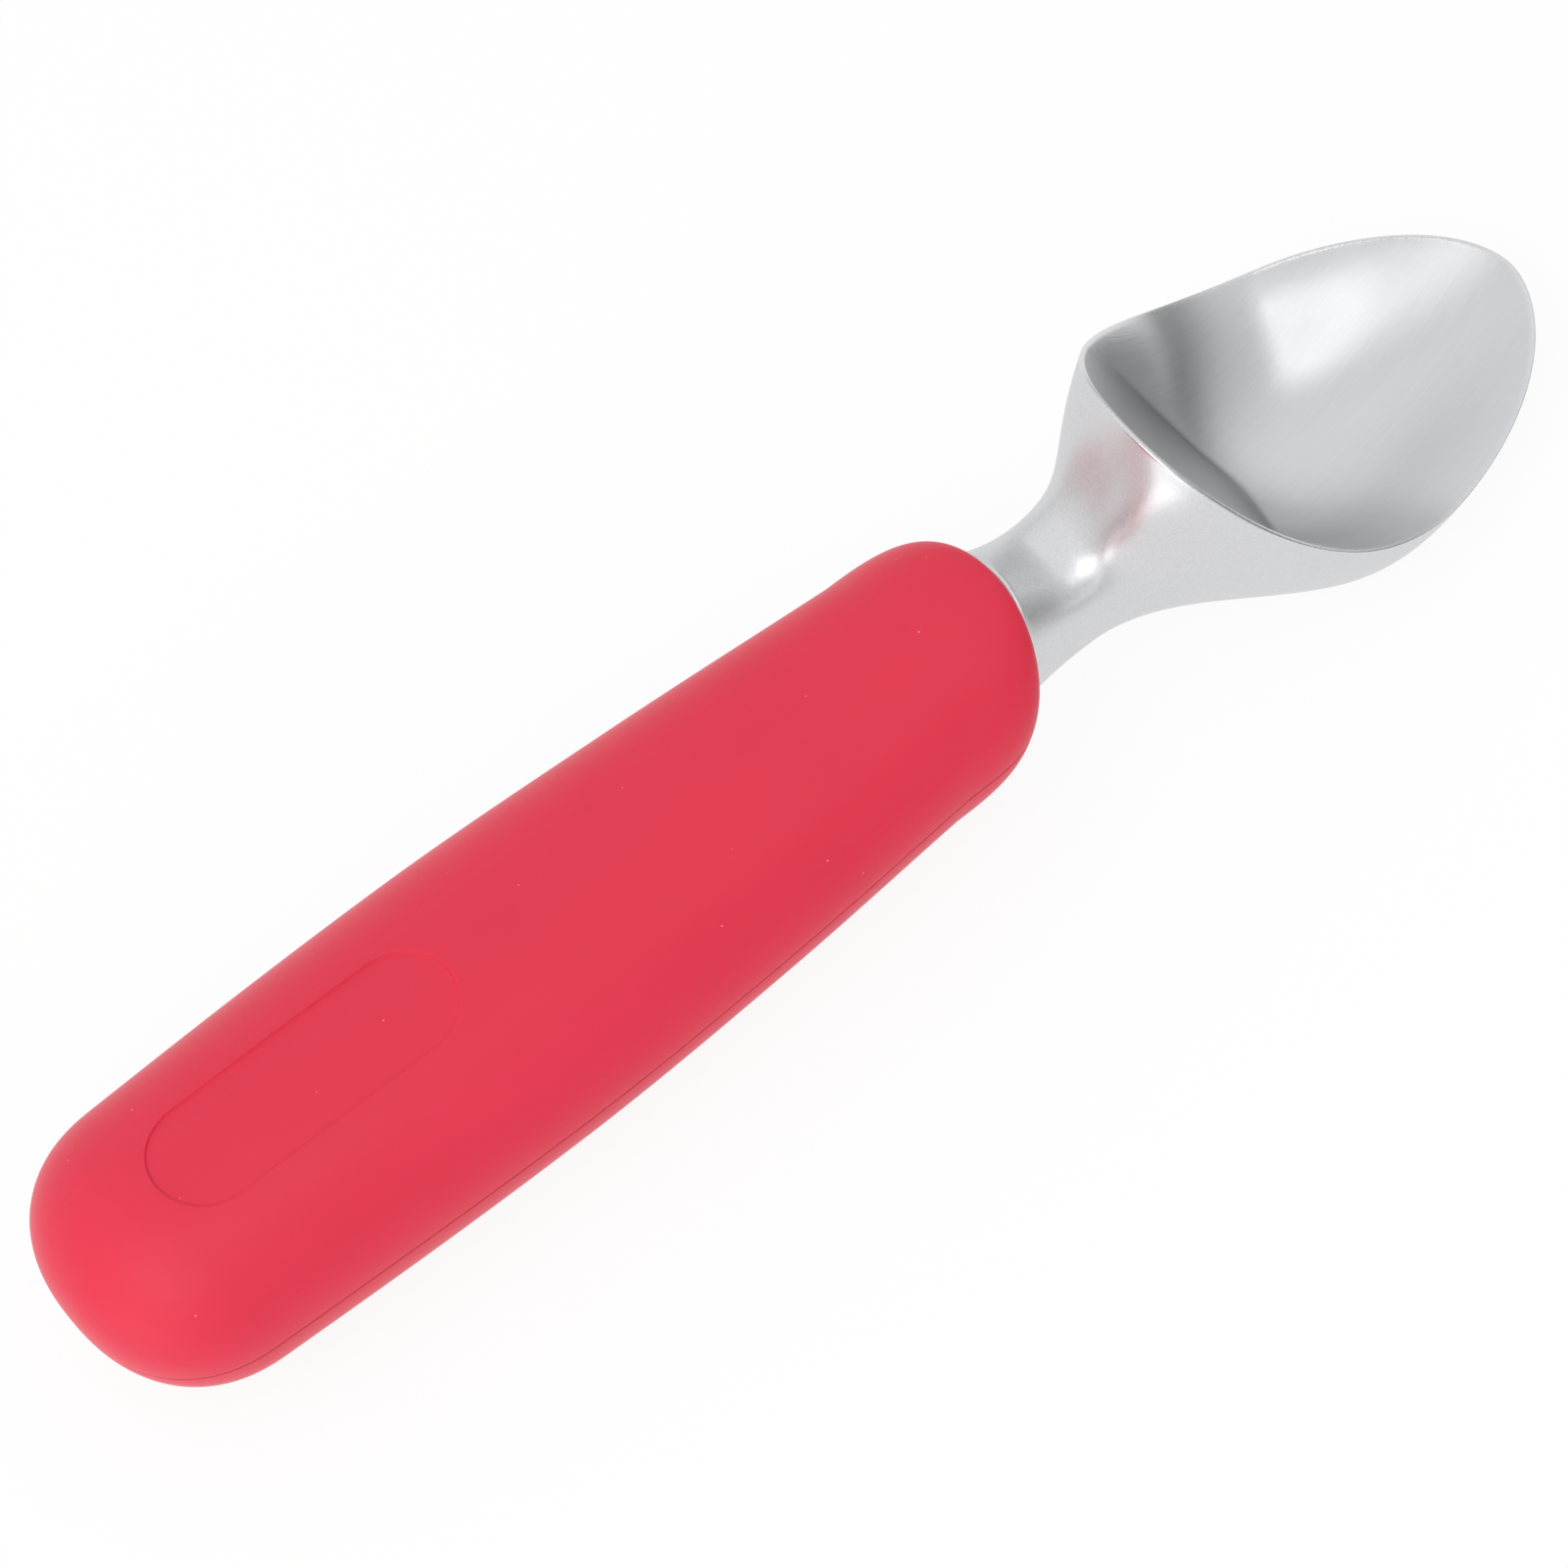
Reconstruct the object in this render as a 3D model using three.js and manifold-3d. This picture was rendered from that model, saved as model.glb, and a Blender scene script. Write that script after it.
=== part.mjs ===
// Ice cream scoop: a cast steel bowl, neck and tang, a rigid two-shell core screwed round the tang,
// and a soft grip moulded over the core. Nothing on it moves.
// Millimetres. X runs from the butt of the grip to the tip of the bowl, Y across, Z up.
// The origin is on the table, under the middle of the scoop's length.

import * as THREE from "three";
import { mergeVertices } from "three/addons/utils/BufferGeometryUtils.js";
import Module from "manifold-3d";

const wasm = await Module();
wasm.setup();

// Lengths that follow each other from the butt to the tip
const gripLength = 117.65;
const neckLength = 23.35;
const bowlLength = 50.2;

// Height of the handle's axis over the table, which the grip and the bowl both touch
const axisHeight = 13;

// Soft grip, as half sizes of its oval section
const buttHalfWidth = 16.2;
const palmHalfWidth = 17.5;
const waistHalfWidth = 16.38;
const shoulderHalfWidth = 14.3;
const buttHalfHeight = 12.6;
const waistHalfHeight = 11.3;
const shoulderHalfHeight = 11;
const palmFromButt = 53;
const heelFromButt = 35;
const waistFromShoulder = 25;
const gripRoundness = 2.15;
const buttRounding = 15;
const buttSquareness = 2.28;
const shoulderRounding = 10.5;
const shoulderSquareness = 3.05;
const mouthRadius = 9.15;
const mouthSlant = 0.54;
const buttSlant = -0.1;
const slantRun = 50;
const gripWall = 2.2;
const restFlatDepth = 0.12;

// Bare stadium panel let into the top of the grip
const panelLength = 37.3;
const panelWidth = 12.4;
const panelFromButt = 32.9;
const panelDepth = 0.25;

// Steel neck: flange on the grip's mouth, spigot inside it, waist in front of it
const flangeThickness = 0.6;
const spigotRadius = 6.8;
const neckWaistRadius = 7.27;
const waistFromMouth = 11.2;
const flareReach = 4;

// Bowl rim: half width, where it is widest, and its heights over the handle's axis
const bowlHalfWidth = 19.8;
const bowlBackLength = 19.8;
const rimBackRoundness = 2.25;
const rimFrontRoundness = 1.82;
const rimBackRise = 19.8;
const rimSideDrop = 5.1;
const rimTipDrop = 4.6;
const rimRiseLength = 29.8;
const rimRisePower = 2.1;
const rimTipLength = 12.5;
const rimLand = 0.55;

// Bowl floor: its deepest point behind the tip, the wall under it, and its radii from that point
const floorFromTip = 31;
const floorWall = 1.8;
const floorTipRadius = 100;
const floorSideRadius = 16.7;
const floorBackRadius = 18;

// Steep back wall of the bowl: its foot is a crease in a leaning plane, which passes
// this far behind the tip at the height of the handle's axis
const wallFootFromTip = 40.2;
const wallFootLean = 0.27;

// Curves of the bowl's skin, each given at the tip, at the sides and at the back.
// A curve leaves the neck level for a reach, or the floor by its radii, and aims at the rim
// from a point that lies a drop under it and a setback inside it.
const outerReach = [15, 9.3, 6.6];
const outerSetback = [29, 6.4, 3.3];
const outerSideDrop = 13.85;
const outerBackDrop = 6.9;
const innerSetback = [10.8, 6, 4];
const innerDrop = [5.3, 4.2, 22];

// Tang, a flat bar cast with the neck
const tangLength = 68;
const tangWidth = 9;
const tangThickness = 4.4;

// Core shells, split along the handle's axis
const coreWall = 2.2;
const ribThickness = 1.8;
const bossRadius = 3.4;
const frontScrewFromTangEnd = 56;
const rearScrewFromTangEnd = 12;
const ribFromScrew = 14;
const screwSink = 0.5;

// Screws and gasket
const screwRadius = 1.5;
const screwHeadRadius = 2.7;
const screwHeadHeight = 1.9;
const screwBite = 5;
const gasketThickness = 1.2;

// Gap between pieces that touch
const fitGap = 0.3;

// Fineness of the lofted skins, round their sections and along them
const gripSides = 40;
const headSides = 48;
const roundSides = 20;
const buttSteps = 7;
const bodySteps = 10;
const shoulderSteps = 7;
const flareSteps = 5;
const backSteps = 18;
const bowlSteps = 14;
const wallSteps = 5;
const wallShare = 0.25;

// Places along X, worked out from the lengths
const buttX = -(gripLength + neckLength + bowlLength) / 2;
const mouthX = buttX + gripLength;
const shoulderX = mouthX - shoulderRounding;
const rimBackX = mouthX + neckLength;
const tipX = rimBackX + bowlLength;
const rimWidestX = rimBackX + bowlBackLength;
const neckWaistX = mouthX + waistFromMouth;
const wallFootX = tipX - wallFootFromTip;
const palmHalfHeight = axisHeight + restFlatDepth;
const boreRadius = spigotRadius + fitGap;
const cavityFrontX = mouthX - mouthSlant * mouthRadius - shoulderRounding / 2;
const coreFrontX = cavityFrontX - fitGap;
const gasketX = cavityFrontX;
const spigotX = gasketX + gasketThickness + fitGap;
const tangEndX = spigotX - tangLength;
const screwXs = [tangEndX + frontScrewFromTangEnd, tangEndX + rearScrewFromTangEnd];

// Signed power, for rounded sections between an ellipse and a rectangle
const power = (value, exponent) => Math.sign(value) * Math.abs(value) ** exponent;

// Smooth cubic through points given as [place, value]
function through(points) {
  const slope = points.map((point, i) => {
    const before = points[Math.max(i - 1, 0)];
    const after = points[Math.min(i + 1, points.length - 1)];
    return (after[1] - before[1]) / (after[0] - before[0]);
  });
  return (place) => {
    let i = 0;
    while (i < points.length - 2 && place > points[i + 1][0]) i += 1;
    const span = points[i + 1][0] - points[i][0];
    const u = THREE.MathUtils.clamp((place - points[i][0]) / span, 0, 1);
    const rise = points[i + 1][1] - points[i][1];
    const bendIn = slope[i] * span - rise;
    const bendOut = rise - slope[i + 1] * span;
    return points[i][1] + u * rise + u * (1 - u) * ((1 - u) * bendIn + u * bendOut);
  };
}

// Closed skin over rings of equal length, with a fan at each end
function loft(rings, startPole, endPole) {
  const sides = rings[0].length;
  const points = [startPole, ...rings.flat(), endPole];
  const index = [];
  const at = (ring, side) => 1 + ring * sides + (side % sides);
  for (let side = 0; side < sides; side += 1) {
    index.push(0, at(0, side + 1), at(0, side));
    for (let ring = 0; ring < rings.length - 1; ring += 1) {
      index.push(at(ring, side), at(ring, side + 1), at(ring + 1, side));
      index.push(at(ring, side + 1), at(ring + 1, side + 1), at(ring + 1, side));
    }
    index.push(points.length - 1, at(rings.length - 1, side), at(rings.length - 1, side + 1));
  }
  const geometry = new THREE.BufferGeometry();
  geometry.setAttribute("position", new THREE.Float32BufferAttribute(points.flatMap((p) => p.toArray()), 3));
  geometry.setIndex(index);
  return geometry;
}

// Solids for joining and cutting, and back to a mesh
function solid(geometry) {
  const bare = geometry.clone();
  bare.deleteAttribute("normal");
  bare.deleteAttribute("uv");
  const merged = mergeVertices(bare, 1e-4);
  return new wasm.Manifold(new wasm.Mesh({
    numProp: 3,
    vertProperties: new Float32Array(merged.attributes.position.array),
    triVerts: new Uint32Array(merged.index.array),
  }));
}

function meshGeometry(body) {
  const mesh = body.getMesh();
  const geometry = new THREE.BufferGeometry();
  geometry.setAttribute("position", new THREE.BufferAttribute(new Float32Array(mesh.vertProperties), 3));
  geometry.setIndex(new THREE.BufferAttribute(new Uint32Array(mesh.triVerts), 1));
  return geometry;
}

// Ring of points round the X axis; turn 0 is the bottom and half a turn the top
function ring(sides, place) {
  return Array.from({ length: sides }, (_, i) => place((2 * Math.PI * i) / sides));
}

function ovalRing(sides, x, halfWidth, halfHeight, roundness = 2, slant = 0) {
  const bend = 2 / roundness;
  return ring(sides, (turn) => {
    const z = -halfHeight * power(Math.cos(turn), bend);
    return new THREE.Vector3(x + slant * z, halfWidth * power(Math.sin(turn), bend), z);
  });
}

// Soft grip
const gripWidthAt = through([
  [buttX, buttHalfWidth],
  [buttX + palmFromButt, palmHalfWidth],
  [shoulderX - waistFromShoulder, waistHalfWidth],
  [shoulderX, shoulderHalfWidth],
]);
const gripHeightAt = through([
  [buttX, buttHalfHeight],
  [buttX + heelFromButt, palmHalfHeight],
  [shoulderX - waistFromShoulder, waistHalfHeight],
  [shoulderX, shoulderHalfHeight],
]);

// Lean of the grip's sections, forwards at the mouth and backwards at the butt
function slantAt(x) {
  const forwards = THREE.MathUtils.smoothstep(x, mouthX - slantRun, mouthX);
  const backwards = 1 - THREE.MathUtils.smoothstep(x, buttX, buttX + slantRun);
  return mouthSlant * forwards + buttSlant * backwards;
}

function gripSection(x, inset) {
  const into = THREE.MathUtils.clamp((x - buttX - inset) / buttRounding, 0, 1);
  const cap = (1 - (1 - into) ** buttSquareness) ** (1 / buttSquareness);
  return {
    halfWidth: (gripWidthAt(x) - inset) * cap,
    halfHeight: (gripHeightAt(x) - inset) * cap,
  };
}

function gripRings(inset, endX, lean) {
  const places = [];
  for (let step = 1; step <= buttSteps; step += 1) {
    places.push(buttX + inset + buttRounding * (1 - Math.cos((step / buttSteps) * Math.PI / 2)));
  }
  const bodyX = places[places.length - 1];
  for (let step = 1; step <= bodySteps; step += 1) {
    places.push(bodyX + ((endX - bodyX) * step) / bodySteps);
  }
  return places.map((x) => {
    const { halfWidth, halfHeight } = gripSection(x, inset);
    return ovalRing(gripSides, x, halfWidth, halfHeight, gripRoundness, lean ? slantAt(x) : 0);
  });
}

function gripSkin() {
  const rings = gripRings(0, shoulderX, true);
  const shoulder = gripSection(shoulderX, 0);
  for (let step = 1; step <= shoulderSteps; step += 1) {
    const angle = (step / shoulderSteps) * Math.PI / 2;
    const across = Math.cos(angle) ** (2 / shoulderSquareness);
    const along = Math.sin(angle) ** (2 / shoulderSquareness);
    const x = shoulderX + shoulderRounding * along;
    const roundness = 2 + (gripRoundness - 2) * across;
    const halfWidth = mouthRadius + (shoulder.halfWidth - mouthRadius) * across;
    const halfHeight = mouthRadius + (shoulder.halfHeight - mouthRadius) * across;
    rings.push(ovalRing(gripSides, x, halfWidth, halfHeight, roundness, slantAt(x)));
  }
  return rings;
}

function block(lowX, highX, halfWidth, lowZ, highZ) {
  const box = new THREE.BoxGeometry(highX - lowX, 2 * halfWidth, highZ - lowZ);
  return solid(box.translate((lowX + highX) / 2, 0, (lowZ + highZ) / 2));
}

function post(x, radius, lowZ, highZ) {
  const cylinder = new THREE.CylinderGeometry(radius, radius, highZ - lowZ, roundSides);
  return solid(cylinder.rotateX(Math.PI / 2).translate(x, 0, (lowZ + highZ) / 2));
}

// The panel's floor follows the crown of the grip at an even depth
function panelRecess() {
  const radius = panelWidth / 2;
  const straight = panelLength / 2 - radius;
  const outline = new THREE.Shape();
  outline.absarc(straight, 0, radius, -Math.PI / 2, Math.PI / 2, false);
  outline.absarc(-straight, 0, radius, Math.PI / 2, 1.5 * Math.PI, false);
  const prism = new THREE.ExtrudeGeometry(outline, {
    depth: 2 * palmHalfHeight,
    bevelEnabled: false,
    curveSegments: roundSides,
  });
  const centreX = buttX + panelFromButt;
  const under = gripRings(panelDepth, shoulderX, true);
  const end = new THREE.Vector3(shoulderX, 0, 0);
  const floor = loft(under, new THREE.Vector3(buttX + panelDepth, 0, 0), end);
  return solid(prism.translate(centreX, 0, 0)).subtract(solid(floor));
}

function gripSleeve() {
  const inner = gripRings(gripWall, cavityFrontX, false).reverse();
  const rings = [
    ...gripSkin(),
    ovalRing(gripSides, mouthX, boreRadius, boreRadius, 2, mouthSlant),
    ovalRing(gripSides, cavityFrontX, boreRadius, boreRadius),
    ...inner,
  ];
  const butt = new THREE.Vector3(buttX, 0, 0);
  const buttInside = new THREE.Vector3(buttX + gripWall, 0, 0);
  const table = block(buttX, mouthX, palmHalfWidth, -2 * axisHeight, -axisHeight);
  const sleeve = solid(loft(rings, butt, buttInside));
  return meshGeometry(sleeve.subtract(panelRecess()).subtract(table));
}

// Bowl, neck and tang in one casting
const around = ([tip, side, back]) => (turn) => {
  const c = Math.cos(turn);
  return side + ((tip - back) / 2) * c + ((tip + back) / 2 - side) * c * c;
};

const rimXAt = around([tipX, rimWidestX, rimBackX]);

function rimPoint(turn) {
  const x = rimXAt(turn);
  const length = x > rimWidestX ? tipX - rimWidestX : bowlBackLength;
  const roundness = x > rimWidestX ? rimFrontRoundness : rimBackRoundness;
  const narrowing = Math.min(1, Math.abs(x - rimWidestX) / length) ** roundness;
  const y = Math.sign(Math.sin(turn)) * bowlHalfWidth * (1 - narrowing) ** (1 / roundness);
  const rise = Math.max(0, rimBackX + rimRiseLength - x) / rimRiseLength;
  const lift = Math.max(0, x - (tipX - rimTipLength)) / rimTipLength;
  const z = -rimSideDrop + (rimBackRise + rimSideDrop) * rise ** rimRisePower
    + (rimSideDrop - rimTipDrop) * lift ** 2;
  return new THREE.Vector3(x, y, z);
}

function rimOutward(turn) {
  const along = rimPoint(turn + 0.01).sub(rimPoint(turn - 0.01));
  return new THREE.Vector3(along.y, -along.x, 0).normalize();
}

// Point a wall aims from, under the rim and back towards where the wall starts
function aimPoint(from, rim, setback, drop) {
  const heading = rim.clone().sub(from).setZ(0).normalize();
  const aim = rim.clone().addScaledVector(heading, -setback);
  return aim.setZ(rim.z - drop);
}

const outerReachAt = around(outerReach);
const outerSetbackAt = around(outerSetback);
const innerSetbackAt = around(innerSetback);
const innerDropAt = around(innerDrop);

function waistPoint(turn) {
  return new THREE.Vector3(neckWaistX, neckWaistRadius * Math.sin(turn), -neckWaistRadius * Math.cos(turn));
}

function backCurve(turn, drop) {
  const waist = waistPoint(turn);
  const rim = rimPoint(turn);
  const leave = waist.clone().setX(neckWaistX + outerReachAt(turn));
  return new THREE.CubicBezierCurve3(waist, leave, aimPoint(waist, rim, outerSetbackAt(turn), drop), rim);
}

// The belly's curve aims from just deep enough for its lowest point to meet the table
function bellyDrop() {
  let shallow = 0;
  let deep = 4 * axisHeight;
  for (let halving = 0; halving < 40; halving += 1) {
    const drop = (shallow + deep) / 2;
    const lowest = Math.min(...backCurve(0, drop).getPoints(60).map((point) => point.z));
    if (lowest > -axisHeight) shallow = drop;
    else deep = drop;
  }
  return shallow;
}

const outerDropAt = around([bellyDrop(), outerSideDrop, outerBackDrop]);
const backMeridian = (turn) => backCurve(turn, outerDropAt(turn));

// Share of a bowl curve, from the floor to the rim, at which it crosses the plane of the crease
function wallFootShare(curve) {
  let inFront = 0;
  let behind = 1;
  for (let halving = 0; halving < 30; halving += 1) {
    const share = (inFront + behind) / 2;
    const point = curve.getPoint(share);
    if (point.x + wallFootLean * point.z > wallFootX) inFront = share;
    else behind = share;
  }
  return behind;
}

// Curve from the floor to the rim; behind the crease it is straight, as the steep back wall is
function bowlMeridian(turn) {
  const floor = new THREE.Vector3(tipX - floorFromTip, 0, -axisHeight + floorWall);
  const rim = rimPoint(turn).addScaledVector(rimOutward(turn), -rimLand);
  const heading = rim.clone().sub(floor).setZ(0).normalize();
  const aim = aimPoint(floor, rim, innerSetbackAt(turn), innerDropAt(turn));
  const lengthwiseRadius = heading.x > 0 ? floorTipRadius : floorBackRadius;
  const bend = heading.x ** 2 / lengthwiseRadius + heading.y ** 2 / floorSideRadius;
  const reach = Math.sqrt((2 * (aim.z - floor.z)) / (3 * bend));
  const leave = floor.clone().addScaledVector(heading, reach);
  const curve = new THREE.CubicBezierCurve3(floor, leave, aim, rim);
  const footShare = wallFootShare(curve);
  const foot = curve.getPoint(footShare);
  const creaseShare = Math.min(footShare, 1 - wallShare);
  return (step) => {
    const upWall = Math.max(step - bowlSteps, 0) / wallSteps;
    const share = creaseShare * Math.min(step / bowlSteps, 1) + (1 - creaseShare) * upWall;
    return share > footShare ? foot.clone().lerp(rim, upWall) : curve.getPoint(share);
  };
}

function neckFlare(turn) {
  const flangeX = mouthX + fitGap + flangeThickness;
  const waist = waistPoint(turn);
  const edge = new THREE.Vector3(0, mouthRadius * Math.sin(turn), -mouthRadius * Math.cos(turn));
  edge.setX(flangeX + mouthSlant * edge.z);
  const turnIn = waist.clone().setX(edge.x + flareReach);
  return new THREE.QuadraticBezierCurve3(edge, turnIn, waist);
}

function scoopHead() {
  const backX = mouthX + fitGap;
  const rings = [
    ovalRing(headSides, tangEndX, tangWidth / 2, tangThickness / 2, 8),
    ovalRing(headSides, spigotX, tangWidth / 2, tangThickness / 2, 8),
    ovalRing(headSides, spigotX, spigotRadius, spigotRadius),
    ovalRing(headSides, backX, spigotRadius, spigotRadius, 2, mouthSlant),
    ovalRing(headSides, backX, mouthRadius, mouthRadius, 2, mouthSlant),
  ];
  for (let step = 0; step < flareSteps; step += 1) {
    rings.push(ring(headSides, (turn) => neckFlare(turn).getPoint(step / flareSteps)));
  }
  for (let step = 0; step <= backSteps; step += 1) {
    rings.push(ring(headSides, (turn) => backMeridian(turn).getPoint(step / backSteps)));
  }
  for (let step = bowlSteps + wallSteps; step > 0; step -= 1) {
    rings.push(ring(headSides, (turn) => bowlMeridian(turn)(step)));
  }
  const tangEnd = new THREE.Vector3(tangEndX, 0, 0);
  const floor = new THREE.Vector3(tipX - floorFromTip, 0, -axisHeight + floorWall);
  return loft(rings, tangEnd, floor);
}

// Core shells round the tang, with bosses for the screws and ribs that hold the bar
const coreInset = gripWall + fitGap;
const slotHalfWidth = tangWidth / 2 + fitGap;
const slotHalfHeight = tangThickness / 2 + fitGap;
const screwTopZ = slotHalfHeight + screwBite;

function screwHeadZ(x) {
  return -gripSection(x, coreInset).halfHeight + screwSink;
}

function coreSolid() {
  const outside = solid(loft(
    gripRings(coreInset, coreFrontX, false),
    new THREE.Vector3(buttX + coreInset, 0, 0),
    new THREE.Vector3(coreFrontX, 0, 0),
  ));
  const hollowFrontX = coreFrontX - coreWall;
  const hollow = solid(loft(
    gripRings(coreInset + coreWall, hollowFrontX, false),
    new THREE.Vector3(buttX + coreInset + coreWall, 0, 0),
    new THREE.Vector3(hollowFrontX, 0, 0),
  ));
  const reach = palmHalfHeight;
  let core = outside.subtract(hollow);
  const ribXs = [screwXs[0] - ribFromScrew, screwXs[1] + ribFromScrew, screwXs[1] - ribFromScrew];
  for (const x of ribXs) {
    const rib = block(x - ribThickness / 2, x + ribThickness / 2, palmHalfWidth, -reach, reach);
    core = core.add(rib.intersect(outside));
  }
  for (const x of screwXs) {
    core = core.add(post(x, bossRadius, -reach, reach).intersect(outside));
  }
  core = core.subtract(block(tangEndX - fitGap, mouthX, slotHalfWidth, -slotHalfHeight, slotHalfHeight));
  for (const x of screwXs) {
    const seatZ = screwHeadZ(x) + screwHeadHeight + fitGap;
    core = core.subtract(post(x, screwRadius + fitGap, -reach, screwTopZ + fitGap));
    core = core.subtract(post(x, screwHeadRadius + fitGap, -reach, seatZ));
  }
  return core;
}

const core = coreSolid();

function coreShell(lowZ, highZ) {
  return meshGeometry(core.intersect(block(buttX, mouthX, palmHalfWidth, lowZ, highZ)));
}

function tangScrew(x) {
  const headZ = screwHeadZ(x);
  const underHeadZ = headZ + screwHeadHeight;
  const profile = [
    [0, headZ],
    [screwHeadRadius * 0.75, headZ],
    [screwHeadRadius, headZ + screwHeadHeight * 0.4],
    [screwHeadRadius, underHeadZ],
    [screwRadius, underHeadZ],
    [screwRadius, screwTopZ - screwRadius],
    [screwRadius * 0.2, screwTopZ],
    [0, screwTopZ],
  ].map(([radius, z]) => new THREE.Vector2(radius, z));
  return new THREE.LatheGeometry(profile, roundSides).rotateX(Math.PI / 2).translate(x, 0, 0);
}

function neckGasket() {
  const disc = new THREE.Shape().absarc(0, 0, spigotRadius, 0, 2 * Math.PI, false);
  const slot = new THREE.Path();
  slot.moveTo(-slotHalfHeight, -slotHalfWidth);
  slot.lineTo(-slotHalfHeight, slotHalfWidth);
  slot.lineTo(slotHalfHeight, slotHalfWidth);
  slot.lineTo(slotHalfHeight, -slotHalfWidth);
  slot.closePath();
  disc.holes.push(slot);
  const options = { depth: gasketThickness, bevelEnabled: false, curveSegments: roundSides };
  return new THREE.ExtrudeGeometry(disc, options).rotateY(Math.PI / 2).translate(gasketX, 0, 0);
}

// The bar's holes let the screws through
function drilledHead() {
  let head = solid(scoopHead());
  for (const x of screwXs) {
    head = head.subtract(post(x, screwRadius + fitGap, -tangThickness, tangThickness));
  }
  return meshGeometry(head);
}

// The assembled scoop, raised so that the grip and the bowl stand on the table
const scoop = new THREE.Group();
scoop.position.set(0, 0, axisHeight);

function add(name, geometry, color, roughness, metalness) {
  const mesh = new THREE.Mesh(geometry, new THREE.MeshStandardMaterial({ color, roughness, metalness }));
  mesh.name = name;
  scoop.add(mesh);
}

add("scoop_head", drilledHead(), 0xc4c6ca, 0.34, 1);
add("grip_sleeve", gripSleeve(), 0xd92f49, 0.55, 0);
add("core_upper", coreShell(fitGap / 2, palmHalfHeight), 0x2b2c30, 0.5, 0);
add("core_lower", coreShell(-palmHalfHeight, -fitGap / 2), 0x2b2c30, 0.5, 0);
add("neck_gasket", neckGasket(), 0x303134, 0.8, 0);
add("tang_screw_front", tangScrew(screwXs[0]), 0xb4b6b8, 0.3, 1);
add("tang_screw_rear", tangScrew(screwXs[1]), 0xb4b6b8, 0.3, 1);

export default scoop;
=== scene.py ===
import math
from types import SimpleNamespace

import bmesh
import bpy
import numpy as np
from mathutils import Matrix, Vector


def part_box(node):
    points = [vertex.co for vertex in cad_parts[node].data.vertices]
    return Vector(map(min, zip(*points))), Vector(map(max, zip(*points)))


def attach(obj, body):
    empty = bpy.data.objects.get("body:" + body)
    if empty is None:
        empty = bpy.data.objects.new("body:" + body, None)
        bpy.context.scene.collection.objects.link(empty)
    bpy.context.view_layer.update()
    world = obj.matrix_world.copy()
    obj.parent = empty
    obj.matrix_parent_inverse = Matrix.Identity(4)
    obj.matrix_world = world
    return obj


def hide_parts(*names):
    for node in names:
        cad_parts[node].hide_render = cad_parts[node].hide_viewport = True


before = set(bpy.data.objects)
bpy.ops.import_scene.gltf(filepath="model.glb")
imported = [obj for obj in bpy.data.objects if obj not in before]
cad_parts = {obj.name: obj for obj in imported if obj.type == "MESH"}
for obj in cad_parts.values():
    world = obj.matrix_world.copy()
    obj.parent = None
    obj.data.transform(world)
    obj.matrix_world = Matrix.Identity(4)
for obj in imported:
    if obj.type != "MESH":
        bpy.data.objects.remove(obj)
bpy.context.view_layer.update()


# Scoop head: the pointed, high-backed bowl with its neck, flange and tang, cast in stainless steel
# in one piece. One skin runs from the flange along the neck to the rim, over the rim's narrow
# ground land and down the bowl; the tang behind it is drilled for the two screws of the grip.
class Flow:
    """A node socket used like a number: every operator on it adds one Math node to its tree."""

    def __init__(self, tree, socket=None):
        self.tree = tree
        self.socket = socket

    def node(self, kind, settings=None, inputs=None, output=0):
        """Any other node: its settings are set first, then the values or links of its sockets."""
        made = self.tree.nodes.new(kind)
        for name, value in (settings or {}).items():
            setattr(made, name, value)
        for key, value in (inputs or {}).items():
            for entry in value if isinstance(value, list) else [value]:
                if isinstance(entry, Flow):
                    self.tree.links.new(entry.socket, made.inputs[key])
                else:
                    made.inputs[key].default_value = entry
        return Flow(self.tree, made.outputs[output] if made.outputs else None)

    def also(self, output):
        """Another output of the same node."""
        return Flow(self.tree, self.socket.node.outputs[output])

    def math(self, operation, *terms):
        return self.reckon(operation, self, *terms)

    def reckon(self, operation, *terms):
        return self.node("ShaderNodeMath", {"operation": operation}, dict(enumerate(terms)))

    def __add__(self, other):
        return self.reckon("ADD", self, other)

    def __radd__(self, other):
        return self.reckon("ADD", other, self)

    def __sub__(self, other):
        return self.reckon("SUBTRACT", self, other)

    def __rsub__(self, other):
        return self.reckon("SUBTRACT", other, self)

    def __mul__(self, other):
        return self.reckon("MULTIPLY", self, other)

    def __rmul__(self, other):
        return self.reckon("MULTIPLY", other, self)

    def __truediv__(self, other):
        return self.reckon("DIVIDE", self, other)

    def __rtruediv__(self, other):
        return self.reckon("DIVIDE", other, self)

    def __pow__(self, other):
        return self.reckon("POWER", self, other)


def between(share, low, high):
    """The vector that lies the given share of the way from one to the other."""
    return share.node("ShaderNodeMix", {"data_type": "VECTOR"}, {0: share, 4: low, 5: high}, 1)


def tinted(share, low, high):
    """The colour that lies the given share of the way from one to the other."""
    return share.node("ShaderNodeMix", {"data_type": "RGBA"}, {0: share, 6: low, 7: high}, 2)


def ranged(value, low, high, to_low=0.0, to_high=1.0):
    """A value eased from one range to another."""
    return value.node(
        "ShaderNodeMapRange",
        {"interpolation_type": "SMOOTHSTEP"},
        {"Value": value, "From Min": low, "From Max": high, "To Min": to_low, "To Max": to_high},
    )


def speckle(place, scale, detail=2.0, roughness=0.5):
    """Soft cloudy noise around one half, in lumps of one over the scale, in metres."""
    sockets = {"Vector": place, "Scale": scale, "Detail": detail, "Roughness": roughness}
    return place.node("ShaderNodeTexNoise", {}, sockets)


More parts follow.
